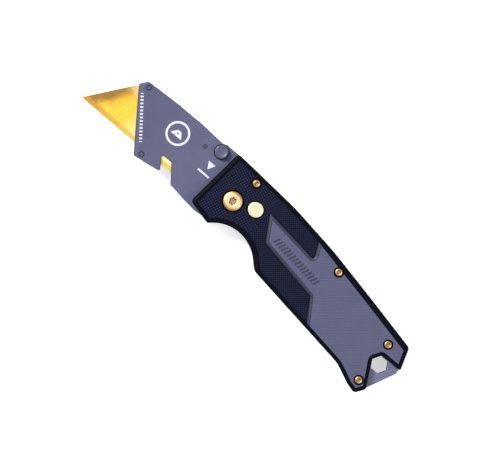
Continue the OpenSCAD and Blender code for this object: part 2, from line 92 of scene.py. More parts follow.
class Wire:
    """A node's output socket. Arithmetic on wires adds Math nodes to their tree."""

    def __init__(self, tree, socket):
        self.tree, self.socket = tree, socket

    def __getitem__(self, name):
        return Wire(self.tree, self.socket.node.outputs[name])

    def maths(self, operation, *others):
        """A Math node on this wire and other wires or numbers."""
        return self.tree.add("ShaderNodeMath", {"operation": operation}, dict(enumerate((self, *others))))

    def __add__(self, other):
        return self.maths("ADD", other)

    def __mul__(self, other):
        return self.maths("MULTIPLY", other)

    def __rmul__(self, other):
        return self.maths("MULTIPLY", other)

    def __sub__(self, other):
        return self.maths("SUBTRACT", other)

    def __rsub__(self, other):
        return self.maths("MULTIPLY_ADD", -1, other)

    def __truediv__(self, other):
        return self.maths("DIVIDE", other)

    def __gt__(self, other):
        return self.maths("GREATER_THAN", other)

    def __lt__(self, other):
        return self.maths("LESS_THAN", other)

    def __abs__(self):
        return self.maths("ABSOLUTE")


class Tree:
    """A node tree whose nodes all come from add."""

    def __init__(self, tree):
        self.tree = tree

    def add(self, kind, settings=None, sockets=None):
        """Makes a node: its settings first, then the values or wires of its sockets, by name or place."""
        node = self.tree.nodes.new(kind)
        for name, value in (settings or {}).items():
            if name == "stops":
                self.fill_ramp(node.color_ramp, value)
            else:
                setattr(node, name, value)
        for key, value in (sockets or {}).items():
            if isinstance(key, int):
                socket = node.inputs[key]
            else:
                socket = next(s for s in node.inputs if s.name == key and s.enabled)
            if isinstance(value, Wire):
                self.tree.links.new(value.socket, socket)
            else:
                socket.default_value = value
        shown = [s for s in node.outputs if s.enabled]
        return Wire(self, shown[0]) if shown else node

    @staticmethod
    def fill_ramp(ramp, stops):
        """Sets a colour ramp's stops, each a place and a colour."""
        while len(ramp.elements) < len(stops):
            ramp.elements.new(1)
        for element, (place, colour) in zip(ramp.elements, stops):
            element.position = place
            element.color = (*colour, 1)


room = bpy.data.worlds.new("room")
room.use_nodes = True
sky = Tree(room.node_tree)
upward = sky.add("ShaderNodeSeparateXYZ", {}, {"Vector": sky.add("ShaderNodeTexCoord")["Generated"]})["Z"]
glow = sky.add("ShaderNodeMapRange", {"interpolation_type": "SMOOTHSTEP"}, {
    "Value": upward, "From Min": 0.1, "From Max": 0.95, "To Min": 0.12, "To Max": 0.85
})
backdrop = room.node_tree.nodes["Background"]
backdrop.inputs["Color"].default_value = (0.95, 0.97, 1, 1)
room.node_tree.links.new(glow.socket, backdrop.inputs["Strength"])
bpy.context.scene.world = room


def soft_box(name, place, size, power):
    """A square soft light that faces the knife."""
    lamp = bpy.data.objects.new(name, bpy.data.lights.new(name, "AREA"))
    lamp.data.size = size
    lamp.data.energy = power
    lamp.location = place
    lamp.rotation_euler = (-place).to_track_quat("-Z", "Y").to_euler()
    bpy.context.scene.collection.objects.link(lamp)


soft_box("key_light", turned_to_view(-0.42, 0.45, 0.7), size=0.18, power=9)
soft_box("fill_light", turned_to_view(0.5, -0.3, 0.8), size=0.6, power=2.5)


def blank(name):
    """A new object in the scene, with an empty mesh."""
    piece = bpy.data.objects.new(name, bpy.data.meshes.new(name))
    bpy.context.scene.collection.objects.link(piece)
    return piece


table = blank("table")
half = 1.5
table_corners = [(-half, -half, 0), (half, -half, 0), (half, half, 0), (-half, half, 0)]
table.data.from_pydata(table_corners, [], [(0, 1, 2, 3)])
lit_top = bpy.data.materials.new("lit_table")
lit_top.use_nodes = True
lit_shader = lit_top.node_tree.nodes["Principled BSDF"]
lit_shader.inputs["Base Color"].default_value = (0.86, 0.86, 0.87, 1)
lit_shader.inputs["Roughness"].default_value = 0.7
lit_shader.inputs["Emission Color"].default_value = (1, 1, 1, 1)
lit_shader.inputs["Emission Strength"].default_value = 0.5
table.data.materials.append(lit_top)


# The two scales are moulded in black glass-filled nylon, with a rim that rolls over into a shallow pocket.
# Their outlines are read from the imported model, then the stepped bevel is drawn again as a smooth roll.
middle_z = (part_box("blade")[0].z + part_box("blade")[1].z) / 2
pivot = (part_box("pivot_screw")[0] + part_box("pivot_screw")[1]) / 2

# Packed vertices this close are one, and a face is level when its normal's z passes the limit
weld_gap = 0.2e-6
level_limit = 0.99


def area(loop):
    """Signed area of a loop of plan points, positive when it runs counter-clockwise."""
    return sum(a.x * b.y - b.x * a.y for a, b in zip(loop, loop[1:] + loop[:1])) / 2


def outlines(node, z):
    """Outlines of a node's level faces at height z, counter-clockwise, with the largest first."""
    bm = bmesh.new()
    bm.from_mesh(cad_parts[node].data)
    bmesh.ops.remove_doubles(bm, verts=bm.verts, dist=weld_gap)
    bm.normal_update()
    level = [f for f in bm.faces if abs(f.normal.z) > level_limit]
    level = [f for f in level if abs(f.calc_center_median().z - z) < 0.02 * mm]
    whole = set(level)
    following = {}
    for corner in (c for f in level for c in f.loops):
        if not any(f in whole for f in corner.edge.link_faces if f is not corner.face):
            following.setdefault(corner.vert, []).append(corner.link_loop_next.vert)
    loops = []
    while following:
        first = next(iter(following))
        loop, vert = [], first
        while vert is not first or not loop:
            loop.append(Vector((vert.co.x, vert.co.y)))
            nexts = following[vert]
            here, vert = vert, nexts.pop()
            if not nexts:
                del following[here]
        loops.append(loop if area(loop) > 0 else loop[::-1])
    bm.free()
    return sorted(loops, key=area, reverse=True)


def cross(a, b):
    """Cross product of two plan directions."""
    return a.x * b.y - a.y * b.x


# Edges shorter than this belong to a fillet, if its arc fits the sides beside it this closely
short_edge = 0.9 * mm
fillet_fit = 0.12 * mm
least_turn, most_turn = 0.02, 2.75


def corners(loop):
    """A loop as corners (point, fillet radius). Short edges between two long ones are read as one fillet."""
    count = len(loop)
    edge = [(loop[(i + 1) % count] - loop[i]) for i in range(count)]
    straight = [i for i in range(count) if edge[i].length > short_edge]
    found = []
    for i, j in zip(straight, straight[1:] + straight[:1]):
        run = [(i + 1 + k) % count for k in range((j - i) % count)]
        start, end = loop[run[0]], loop[j]
        u, v = edge[i].normalized(), edge[j].normalized()
        turn = math.atan2(cross(u, v), u.dot(v))
        arc = sum(edge[k].length for k in run[:-1])
        if arc and least_turn < abs(turn) < most_turn:
            radius = arc / abs(turn)
            tangent = radius * math.tan(abs(turn) / 2)
            apex = start + u * cross(end - start, v) / cross(u, v)
            if all(abs((apex - foot).length - tangent) < fillet_fit for foot in (start, end)):
                found.append((apex, radius))
                continue
        found += [(loop[k], 0) for k in run]
    return found


least_fillet = 0.02 * mm


def inset(shape, widths):
    """Moves each side of a cornered shape inwards by its own width. Side i follows corner i."""
    moved = []
    for i, (point, radius) in enumerate(shape):
        u = (point - shape[i - 1][0]).normalized()
        v = (shape[(i + 1) % len(shape)][0] - point).normalized()
        before, after = widths[i - 1], widths[i]
        turn = cross(u, v)
        nearly_straight = abs(turn) < 0.2
        if nearly_straight:
            place = point + Vector((-u.y - v.y, u.x + v.x)) * (before + after) / 4
        else:
            place = point + (before * v - after * u) / turn
        grown = radius - math.copysign(before + after, turn) / 2
        moved.append((place, max(grown, least_fillet) if radius else 0))
    return moved


fillet_steps = 8


def rounded(shape, z):
    """The points of a cornered shape at height z. Every fillet gets the same number of points."""
    points = []
    for i, (point, radius) in enumerate(shape):
        u = (point - shape[i - 1][0]).normalized()
        v = (shape[(i + 1) % len(shape)][0] - point).normalized()
        turn = math.atan2(cross(u, v), u.dot(v))
        if not radius:
            points.append(Vector((point.x, point.y, z)))
            continue
        side = math.copysign(1, turn)
        tangent = min(radius * math.tan(abs(turn) / 2), 0.49 * (point - shape[i - 1][0]).length)
        radius = tangent / math.tan(abs(turn) / 2)
        start = point - u * tangent
        centre = start + Vector((-u.y, u.x)) * side * radius
        for k in range(fillet_steps + 1):
            a = turn * k / fillet_steps
            arm = start - centre
            x = arm.x * math.cos(a) - arm.y * math.sin(a)
            y = arm.x * math.sin(a) + arm.y * math.cos(a)
            points.append(Vector((centre.x + x, centre.y + y, z)))
    return points


def add_shell(bm, rings):
    """Adds a closed shell through rings of equal length, with a flat cap on the first and the last."""
    layers = [[bm.verts.new(p) for p in ring] for ring in rings]
    for low, high in zip(layers, layers[1:]):
        for i in range(len(low)):
            j = (i + 1) % len(low)
            bm.faces.new((low[i], low[j], high[j], high[i]))
    bm.faces.new(layers[0][::-1])
    bm.faces.new(layers[-1])


def mesh_piece(name, bm):
    """A bmesh as an object in the scene."""
    piece = blank(name)
    bm.to_mesh(piece.data)
    bm.free()
    return piece


sharp_edge = math.radians(32)


def piece_from(name, bm, sharp=sharp_edge):
    """Finishes a bmesh as a piece: faces outwards, smooth except across edges sharper than the angle."""
    bmesh.ops.recalc_face_normals(bm, faces=bm.faces)
    for face in bm.faces:
        face.smooth = True
    for edge in bm.edges:
        edge.smooth = edge.is_manifold and edge.calc_face_angle() < sharp
    return mesh_piece(name, bm)


def circle(radius, at, z, sides=64):
    """A ring of points round a plan place."""
    turns = [2 * math.pi * k / sides for k in range(sides)]
    return [Vector((at.x + radius * math.cos(a), at.y + radius * math.sin(a), z)) for a in turns]


def add_turned(bm, profile, at, sides=64):
    """Adds a turned solid: a profile of (radius, height above the middle) from one end to the other."""
    add_shell(bm, [circle(r, at, middle_z + z, sides) for r, z in profile])


def hole_of(loop):
    """Centre and radius of a round outline."""
    centre = sum(loop, Vector((0, 0))) / len(loop)
    return centre, math.sqrt(area(loop) / math.pi)


def baked(piece):
    """Turns a piece's modifiers into plain mesh."""
    mesh = bpy.data.meshes.new_from_object(piece.evaluated_get(bpy.context.evaluated_depsgraph_get()))
    piece.modifiers.clear()
    old, piece.data = piece.data, mesh
    mesh.name = piece.name
    bpy.data.meshes.remove(old)
    return piece


cut_weld = 0.5e-6


def drilled(piece, bits):
    """Cuts turned bits, each a place and a profile, out of a piece."""
    bm = bmesh.new()
    for at, profile in bits:
        add_turned(bm, profile, at)
    cutter = piece_from("bits", bm)
    cut = piece.modifiers.new("bores", "BOOLEAN")
    cut.object = cutter
    cut.solver = "EXACT"
    baked(piece)
    bpy.data.objects.remove(cutter)
    bm = bmesh.new()
    bm.from_mesh(piece.data)
    bmesh.ops.remove_doubles(bm, verts=bm.verts, dist=cut_weld)
    bmesh.ops.dissolve_degenerate(bm, edges=bm.edges, dist=cut_weld)
    for edge in bm.edges:
        edge.smooth = edge.is_manifold and edge.calc_face_angle() < sharp_edge
    bm.to_mesh(piece.data)
    bm.free()
    return piece


def turned_over(piece):
    """The same piece for the rear side, mirrored about the blade's middle plane."""
    bm = bmesh.new()
    bm.from_mesh(piece.data)
    bmesh.ops.transform(bm, verts=bm.verts, matrix=Matrix.Diagonal((1, 1, -1, 1)))
    bmesh.ops.translate(bm, verts=bm.verts, vec=(0, 0, 2 * middle_z))
    bmesh.ops.reverse_faces(bm, faces=bm.faces)
    bm.to_mesh(piece.data)
    bm.free()
    return piece


def rgba(colour):
    """A colour for a socket: a wire as it is, or three numbers made opaque."""
    return colour if isinstance(colour, Wire) else (*colour, 1)


class Finish(Tree):
    """A surface finish. Its pattern is drawn in millimetres from the pivot."""

    def __init__(self, name, **constants):
        self.material = bpy.data.materials.new(name)
        self.material.use_nodes = True
        super().__init__(self.material.node_tree)
        self.shader = self.tree.nodes["Principled BSDF"]
        for socket, value in constants.items():
            self.shader.inputs[socket.replace("_", " ")].default_value = value
        place = self.add("ShaderNodeTexCoord")["Object"]
        origin = tuple(-1000 * v for v in (pivot.x, pivot.y, middle_z))
        in_mm = {"Vector": place, "Location": origin, "Scale": (1000, 1000, 1000)}
        self.place = self.add("ShaderNodeMapping", {}, in_mm)
        axes = self.add("ShaderNodeSeparateXYZ", {}, {"Vector": self.place})
        self.x, self.y, self.z = axes["X"], axes["Y"], axes["Z"]

    def feed(self, socket, wire):
        """Joins a wire to one of the surface's inputs."""
        self.tree.links.new(wire.socket, self.shader.inputs[socket])

    def noise(self, scale, stretch=(1, 1, 1), turn=0, detail=4):
        """Noise with a scale per millimetre, stretched and turned in plan."""
        turned = {"Vector": self.place, "Rotation": (0, 0, turn), "Scale": stretch}
        place = self.add("ShaderNodeMapping", {}, turned)
        sockets = {"Vector": place, "Scale": scale, "Detail": detail, "Roughness": 0.6}
        return self.add("ShaderNodeTexNoise", {}, sockets)

    def blend(self, amount, low, high):
        """A colour between two colours."""
        sockets = {"Factor": amount, "A": rgba(low), "B": rgba(high)}
        return self.add("ShaderNodeMix", {"data_type": "RGBA"}, sockets)

    def ramp(self, value, stops):
        """A colour from a ramp of (place, colour) stops."""
        return self.add("ShaderNodeValToRGB", {"stops": stops}, {"Fac": value})["Color"]

    def tilt(self):
        """1 where the surface faces straight up or down, and 0 on an upright wall."""
        normal = self.add("ShaderNodeNewGeometry")["Normal"]
        return abs(self.add("ShaderNodeSeparateXYZ", {}, {"Vector": normal})["Z"])

    def between(self, value, low, high, to_low=0.0, to_high=1.0):
        """Maps a value from one range to another, and keeps it inside."""
        sockets = {"Value": value, "From Min": low, "From Max": high, "To Min": to_low, "To Max": to_high}
        return self.add("ShaderNodeMapRange", {}, sockets)

    def bump(self, height, depth, strength):
        """Bump from a height of 0 to 1 that stands for a depth in millimetres."""
        sockets = {"Height": height, "Distance": depth * mm, "Strength": strength}
        return self.add("ShaderNodeBump", {}, sockets)

    def on(self, *pieces):
        """Gives pieces this finish alone."""
        for piece in pieces:
            piece.data.materials.clear()
            piece.data.materials.append(self.material)
            for face in piece.data.polygons:
                face.material_index = 0


moulded_black = Finish("moulded_black", Specular_IOR_Level=0.045)
grain = moulded_black.noise(7, detail=3)
cloud = moulded_black.noise(0.25)
black = moulded_black.blend(cloud, (0.0015, 0.0016, 0.0042), (0.003, 0.0033, 0.007))
moulded_black.feed("Base Color", black)
moulded_black.feed("Roughness", moulded_black.between(grain, 0.3, 0.7, 0.42, 0.58))
moulded_black.feed("Normal", moulded_black.bump(grain, 0.02, 0.35))


def distance(p, a, b):
    """How far a point lies from the straight line between two others."""
    t = max(0, min(1, (p - a).dot(b - a) / max((b - a).length_squared, 1e-18)))
    return (p - a - t * (b - a)).length


def rim_widths(shape, hollow):
    """Width of the rim along each side of the outline: how far the pocket's edge lies from it."""
    widths = []
    sides = list(zip(hollow, hollow[1:] + hollow[:1]))
    for (a, _), (b, _) in zip(shape, shape[1:] + shape[:1]):
        tries = [a.lerp(b, t) for t in (0.25, 0.4, 0.5, 0.6, 0.75)]
        widths.append(max(min(distance(p, *side) for side in sides) for p in tries))
    return widths


scale_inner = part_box("front_scale")[0].z - middle_z
scale_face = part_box("front_scale")[1].z - middle_z
pocket_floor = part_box("front_grip")[0].z - middle_z
roll_depth = 1.0 * mm
roll_steps = 6
roll_share, flat_share = 0.74, 0.93
lip = 0.12 * mm
outline = outlines("front_scale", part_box("front_scale")[0].z)[0]
hollow = sorted(outlines("front_scale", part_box("front_scale")[1].z), key=area)[0]
scale_shape = corners(outline)
rims = rim_widths(scale_shape, hollow)


def rim_ring(share, height):
    """The outline moved in by a share of the rim's width, at a height above the middle."""
    return rounded(inset(scale_shape, [share * w for w in rims]), middle_z + height)


def scale_body(name):
    """Rings from the inner face up the wall, over the roll, along the flat and down into the pocket."""
    rings = [rim_ring(0, scale_inner), rim_ring(0, scale_face - roll_depth)]
    for k in range(1, roll_steps + 1):
        a = math.radians(90 * k / roll_steps)
        rings.append(rim_ring(roll_share * (1 - math.cos(a)), scale_face - roll_depth * (1 - math.sin(a))))
    rings.append(rim_ring(flat_share, scale_face))
    rings.append(rim_ring(1, scale_face - lip))
    rings.append(rim_ring(1, pocket_floor))
    bm = bmesh.new()
    add_shell(bm, rings)
    return piece_from(name, bm)


screw_seat = 5.56 * mm
counterbore_r, shank_hole_r, barrel_hole_r = 2.15 * mm, 1.1 * mm, 2.53 * mm
pivot_head_height = 1.2 * mm
pivot_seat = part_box("pivot_screw")[1].z - middle_z - pivot_head_height
edge = 0.1 * mm


def bore(at, radius, low, high, chamfer=0.1 * mm):
    """A bit for a round hole from low to high, with its upper edge broken."""
    return at, [(radius, low), (radius, high - chamfer), (radius + 2 * chamfer, high + chamfer)]


def same_place(a, b):
    """True where two plan places are one hole's."""
    return (a - b).length < 0.1 * mm


button_at = (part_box("lock_button")[0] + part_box("lock_button")[1]).xy / 2
screw_places = [hole_of(loop)[0] for loop in outlines("front_scale", middle_z + screw_seat)]
screw_places = [p for i, p in enumerate(screw_places) if not any(same_place(p, q) for q in screw_places[:i])]
floor_holes = [hole_of(loop) for loop in outlines("front_scale", middle_z + pocket_floor)[1:]]
pivot_bore_r = next(radius for at, radius in floor_holes if same_place(at, pivot.xy))
button_hole_r = next(radius for at, radius in floor_holes if same_place(at, button_at))


def stepped(at, narrow, seat, wide):
    """A bit for a counterbored hole: narrow up to the seat, wide above it."""
    return at, [(narrow, scale_inner - edge), (narrow, seat), (wide, seat), (wide, scale_face + edge)]


for side in ("front", "rear"):
    scale = scale_body(side + "_scale_body")
    bits = [stepped(pivot.xy, barrel_hole_r, pivot_seat, pivot_bore_r)]
    bits += [stepped(at, shank_hole_r, screw_seat, counterbore_r) for at in screw_places]
    if side == "front":
        bits.append((button_at, [(button_hole_r, scale_inner - edge), (button_hole_r, scale_face + edge)]))
    scale = drilled(scale, bits)
    if side == "rear":
        turned_over(scale)
    moulded_black.on(scale)
    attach(scale, "handle")
    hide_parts(side + "_scale")


# The grips are navy pads pressed into the front of each pocket. Their faces are moulded with a diamond
# knurl round the pivot, and with slanting rows of smaller studs on the two lobes.
grip_face = scale_face - 0.38 * mm
stud_height = 0.3 * mm
pad_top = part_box("front_grip")[1].z
grip_loops = outlines("front_grip", pad_top)
grip_shape = corners(grip_loops[0])


def pad(name, shape, levels):
    """A pad from the pocket's floor: levels of (inset, height)."""
    bm = bmesh.new()
    add_shell(bm, [rounded(inset(shape, [w] * len(shape)), middle_z + z) for w, z in levels])
    return piece_from(name, bm)


def top_face(piece, z):
    """A new object with only the level faces of a piece at height z."""
    bm = bmesh.new()
    bm.from_mesh(piece.data)
    low = [f for f in bm.faces if f.normal.z < level_limit or abs(f.calc_center_median().z - z) > 0.01 * mm]
    bmesh.ops.delete(bm, geom=low, context="FACES")
    bmesh.ops.remove_doubles(bm, verts=bm.verts, dist=0.03 * mm)
    return mesh_piece("top", bm)


class Recipe(Tree):
    """A Geometry Nodes tree with named inputs."""

    def __init__(self, name, **kinds):
        super().__init__(bpy.data.node_groups.new(name, "GeometryNodeTree"))
        face = self.tree.interface
        face.new_socket("Geometry", in_out="INPUT", socket_type="NodeSocketGeometry")
        self.sockets = {}
        for label, kind in kinds.items():
            plain = label.replace("_", " ")
            item = face.new_socket(plain, in_out="INPUT", socket_type="NodeSocket" + kind)
            self.sockets[label] = item.identifier
        face.new_socket("Geometry", in_out="OUTPUT", socket_type="NodeSocketGeometry")
        self.given = self.add("NodeGroupInput")

    def ends(self, geometry, finish):
        """Ends the tree: copies made real, and given their material."""
        real = self.add("GeometryNodeRealizeInstances", {}, {"Geometry": geometry})
        done = self.add("GeometryNodeSetMaterial", {}, {"Geometry": real, "Material": finish})
        self.add("NodeGroupOutput", {}, {"Geometry": done})

    def cook(self, piece, **values):
        """Runs the tree on a piece, and leaves its result as plain mesh."""
        step = piece.modifiers.new(self.tree.name, "NODES")
        step.node_group = self.tree
        for label, value in values.items():
            step[self.sockets[label]] = value
        return baked(piece)


knurl = Recipe(
    "knurl", Centre="Vector", Span="Float", Pitch_Along="Float", Pitch_Across="Float", Turn="Float",
    Stud_Length="Float", Stud_Width="Float", Height="Float", Margin="Float", From_X="Float", To_X="Float",
    Finish="Material"
)
given = knurl.given
turn = knurl.add("ShaderNodeCombineXYZ", {}, {"Z": given["Turn"]})
grid = knurl.add("GeometryNodeMeshGrid", {}, {
    "Size X": given["Span"], "Size Y": given["Span"],
    "Vertices X": given["Span"] / given["Pitch Along"], "Vertices Y": given["Span"] / given["Pitch Across"]
})
laid_out = {"Geometry": grid, "Translation": given["Centre"], "Rotation": turn}
laid = knurl.add("GeometryNodeTransform", {}, laid_out)
place = knurl.add("GeometryNodeInputPosition")
place_x = knurl.add("ShaderNodeSeparateXYZ", {}, {"Vector": place})["X"]
# The studs' feet lie just under the pad's face, so a ray upwards finds it where there is a pad
ray = {"Target Geometry": given["Geometry"], "Source Position": place}
ray.update({"Ray Direction": (0, 0, 1), "Ray Length": 0.1})
under = knurl.add("GeometryNodeRaycast", {}, ray)
inner_edge = knurl.add("GeometryNodeInputMeshEdgeNeighbors") > 1.5
rim = {"Geometry": given["Geometry"], "Selection": inner_edge}
rim = knurl.add("GeometryNodeDeleteGeometry", {"domain": "EDGE"}, rim)
foot = knurl.add("ShaderNodeVectorMath", {"operation": "MULTIPLY"}, {0: place, 1: (1, 1, 0)})
drop = knurl.add("ShaderNodeVectorMath", {"operation": "MULTIPLY"}, {0: given["Centre"], 1: (0, 0, 1)})
foot = knurl.add("ShaderNodeVectorMath", {"operation": "ADD"}, {0: foot, 1: drop})
to_rim = {"Geometry": rim, "Sample Position": foot}
near = knurl.add("GeometryNodeProximity", {"target_element": "EDGES"}, to_rim)
in_zone = (place_x > given["From X"]) * (place_x < given["To X"])
kept = under["Is Hit"] * (near["Distance"] > given["Margin"]) * in_zone
points = knurl.add("GeometryNodeDeleteGeometry", {}, {"Geometry": laid, "Selection": 1 - kept})
four_sided = {"Vertices": 4, "Side Segments": 1, "Fill Segments": 1, "Radius Bottom": 1.0, "Depth": 1.0}
stud = knurl.add("GeometryNodeMeshCone", {}, {**four_sided, "Radius Top": 0.25})
stud = knurl.add("GeometryNodeTransform", {}, {"Geometry": stud, "Rotation": (0, 0, math.radians(45))})
stretch = {"X": given["Stud Length"], "Y": given["Stud Width"], "Z": given["Height"]}
studs = knurl.add("GeometryNodeInstanceOnPoints", {}, {
    "Points": points, "Instance": stud, "Rotation": turn,
    "Scale": knurl.add("ShaderNodeCombineXYZ", {}, stretch)
})
knurl.ends(studs, given["Finish"])

# The ground between the studs is painted dark and their crests lighter, as painted shade between the studs
grip_navy = Finish("grip_navy", Specular_IOR_Level=0.1)
grain = grip_navy.noise(9, detail=3)
cloud = grip_navy.noise(0.18)
stud_shade_height = grip_navy.between(abs(grip_navy.z), grip_face / mm + 0.02, (grip_face + stud_height) / mm - 0.08)
crest = grip_navy.blend(cloud, (0.0190, 0.0230, 0.064), (0.0260, 0.0310, 0.082))
grip_navy.feed("Base Color", grip_navy.blend(stud_shade_height, (0.0026, 0.0033, 0.012), crest))
grip_navy.feed("Roughness", grip_navy.between(grain, 0.3, 0.7, 0.5, 0.66))
grip_navy.feed("Normal", grip_navy.bump(grain, 0.02, 0.3))


def joined(name, *parts):
    """One piece made of several meshes."""
    bm = bmesh.new()
    for part in parts:
        bm.from_mesh(part.data)
        bpy.data.objects.remove(part)
    return mesh_piece(name, bm)


# Round the pivot the studs are square and stand in diamonds; on the lobes they run in slanting rows
lobes_x = pivot.x + 14.5 * mm
stud_sunk = 0.02 * mm
stud_margin = 0.46 * mm
knurl_zones = [
    {"Turn": math.radians(70), "Pitch_Along": 1.02 * mm, "Pitch_Across": 1.02 * mm, "Stud_Length": 0.6 * mm,
     "Stud_Width": 0.6 * mm, "From_X": -1.0, "To_X": lobes_x},
    {"Turn": math.radians(40), "Pitch_Along": 0.8 * mm, "Pitch_Across": 0.84 * mm, "Stud_Length": 0.53 * mm,
     "Stud_Width": 0.42 * mm, "From_X": lobes_x, "To_X": 1.0}
]
grip_levels = [(0, pocket_floor), (0, grip_face - 0.15 * mm), (0.12 * mm, grip_face)]
grip_middle = (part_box("front_grip")[0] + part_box("front_grip")[1]) / 2
grip_middle.z = middle_z + grip_face - stud_sunk

for side in ("front", "rear"):
    grip = pad(side + "_grip_pad", grip_shape, grip_levels)
    holes = [hole_of(loop) for loop in grip_loops[1:]]
    if side == "rear":
        holes = [hole for hole in holes if not same_place(hole[0], button_at)]
    grip = drilled(grip, [bore(at, radius, pocket_floor - edge, grip_face) for at, radius in holes])
    parts = [grip]
    for zone in knurl_zones:
        studs = top_face(grip, middle_z + grip_face)
        knurl.cook(
            studs, Centre=grip_middle, Span=100 * mm, Height=stud_height, Margin=stud_margin,
            Finish=grip_navy.material, **zone
        )
        parts.append(studs)
    grip = joined(side + "_grip_knurled", *parts)
    if side == "rear":
        turned_over(grip)
    grip_navy.on(grip)
    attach(grip, "handle")
    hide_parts(side + "_grip")


# The inlays are hard grey panels behind the grips. A band along the grip slopes down to it, and a fine
# groove parts the band from the main field, which carries a row of raised slanting ribs.
inlay_loops = outlines("front_inlay", pad_top)
inlay_shape = corners(inlay_loops[0])
band_width = 1.35 * mm
margin_width = 0.14 * mm


def beside(p, q, loop):
    """True where the middle of a side lies along a loop."""
    middle = (p + q) / 2
    return min(distance(middle, a, b) for a, b in zip(loop, loop[1:] + loop[:1])) < 0.2 * mm


def along(shape, loop, wide, narrow):
    """A width for each side of a shape: wide beside the loop, narrow elsewhere."""
    sides = zip(shape, shape[1:] + shape[:1])
    return [wide if beside(p[0], q[0], loop) else narrow for p, q in sides]


bands = along(inlay_shape, grip_loops[0], band_width, margin_width)
field_face = scale_face - 0.05 * mm
band_face = scale_face - 0.1 * mm
groove_floor = scale_face - 0.3 * mm
inlay_levels = [
    (0, pocket_floor), (0, grip_face - 0.05 * mm), (0.1, grip_face + 0.02 * mm), (0.72, band_face),
    (0.76, groove_floor), (0.92, groove_floor), (1, field_face)
]
inlay_grey = Finish("inlay_grey", Specular_IOR_Level=0.25)
weave_turn = math.radians(40.4)
weave_rate = 5.2
weft = inlay_grey.x * math.cos(weave_turn) + inlay_grey.y * math.sin(weave_turn)
warp = inlay_grey.y * math.cos(weave_turn) - inlay_grey.x * math.sin(weave_turn)
weave = (warp * weave_rate).maths("SINE") * 0.3 + (weft * weave_rate).maths("SINE") * 0.15 + 0.5
grain = inlay_grey.noise(8, detail=3)
cloud = inlay_grey.noise(0.12)
shade = inlay_grey.between(weave * 0.35 + cloud * 0.65, 0.2, 0.8)
field = inlay_grey.blend(shade, (0.062, 0.064, 0.120), (0.086, 0.088, 0.154))
height = abs(inlay_grey.z)
face_mm = scale_face / mm
groove_shade_mask = inlay_grey.between(height, face_mm - 0.12, face_mm - 0.25)
slope_shade_mask = inlay_grey.between(height, face_mm - 0.07, face_mm - 0.10)
rib_mask = inlay_grey.between(height, face_mm - 0.045, face_mm - 0.03)
# The band's slope is painted darker, and the groove and everything below it near black, as painted shade;
# the rib tops are painted dark too
field = inlay_grey.blend(slope_shade_mask * 0.6, field, (0.045, 0.048, 0.090))
field = inlay_grey.blend(groove_shade_mask * 0.85 + rib_mask * 0.7, field, (0.012, 0.013, 0.028))
inlay_grey.feed("Base Color", field)
inlay_grey.feed("Roughness", inlay_grey.between(grain, 0.3, 0.7, 0.36, 0.5))
inlay_grey.feed("Normal", inlay_grey.bump(weave * 0.6 + grain * 0.4, 0.05, 0.35))

ribs = Recipe(
    "ribs", Rib_Length="Float", Rib_Width="Float", Height="Float", Lean="Float", Finish="Material"
)
given = ribs.given
line = ribs.add("GeometryNodeMeshToPoints", {}, {"Mesh": given["Geometry"]})
rib = ribs.add("GeometryNodeMeshCone", {}, {**four_sided, "Radius Top": 0.8})
rib = ribs.add("GeometryNodeTransform", {}, {"Geometry": rib, "Rotation": (0, 0, math.radians(45))})
stretch = {"X": given["Rib Width"], "Y": given["Rib Length"], "Z": given["Height"]}
row = ribs.add("GeometryNodeInstanceOnPoints", {}, {
    "Points": line, "Instance": rib,
    "Rotation": ribs.add("ShaderNodeCombineXYZ", {}, {"Z": given["Lean"]}),
    "Scale": ribs.add("ShaderNodeCombineXYZ", {}, stretch)
})
ribs.ends(row, given["Finish"])
first_rib, last_rib = Vector((24.5, -0.6)) * mm, Vector((48, -3.4)) * mm
rib_count = 16
rib_foot = scale_face - 0.07 * mm
rib_sizes = {"Rib_Length": 2.5 * mm, "Rib_Width": 0.62 * mm, "Height": 0.065 * mm, "Lean": math.radians(-25)}

for side in ("front", "rear"):
    rings = [
        rounded(inset(inlay_shape, [share * w for w in bands]), middle_z + z) for share, z in inlay_levels
    ]
    bm = bmesh.new()
    add_shell(bm, rings)
    inlay = piece_from(side + "_inlay_panel", bm)
    holes = [hole_of(loop) for loop in inlay_loops[1:]]
    inlay = drilled(inlay, [bore(at, radius, pocket_floor - edge, field_face) for at, radius in holes])
    line = blank("line")
    spots = [first_rib.lerp(last_rib, k / (rib_count - 1)) + pivot.xy for k in range(rib_count)]
    line.data.from_pydata([(p.x, p.y, middle_z + rib_foot) for p in spots], [], [])
    ribs.cook(line, Finish=inlay_grey.material, **rib_sizes)
    inlay = joined(side + "_inlay_ribbed", inlay, line)
    if side == "rear":
        turned_over(inlay)
    inlay_grey.on(inlay)
    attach(inlay, "handle")
    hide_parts(side + "_inlay")


# The blade holder is two coated steel plates, laser cut, with the front edge ground to a wide bevel and the
# others just broken. The front plate has a printed mark, an arrow under the stud and a row of ticks.
plate_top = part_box("holder_front_plate")[1].z - middle_z
plate_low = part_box("holder_front_plate")[0].z - middle_z
plate_loops = outlines("holder_front_plate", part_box("holder_front_plate")[1].z)
plate_shape = corners(plate_loops[0])
sides = [(q[0] - p[0]).length for p, q in zip(plate_shape, plate_shape[1:] + plate_shape[:1])]
nose_side = sides.index(max(sides))


# Places of the printed marks, in millimetres from the pivot
ring_at, ring_r = (-35.6, 6.6), 4.7
arrow_tip, bar_at = (-16.65, 3.25), (-16.8, 0.9)
ticks_from, tick_pitch = (-58.2, 10.4), 1.45
nose_lean = math.atan2(-17, 13.5)


def inside(value, half_width, soft=0.06):
    """1 where a distance stays under half_width, with an edge as soft as print."""
    past = (abs(value) - half_width + soft) / (2 * soft)
    return 1 - past.maths("MAXIMUM", 0).maths("MINIMUM", 1)


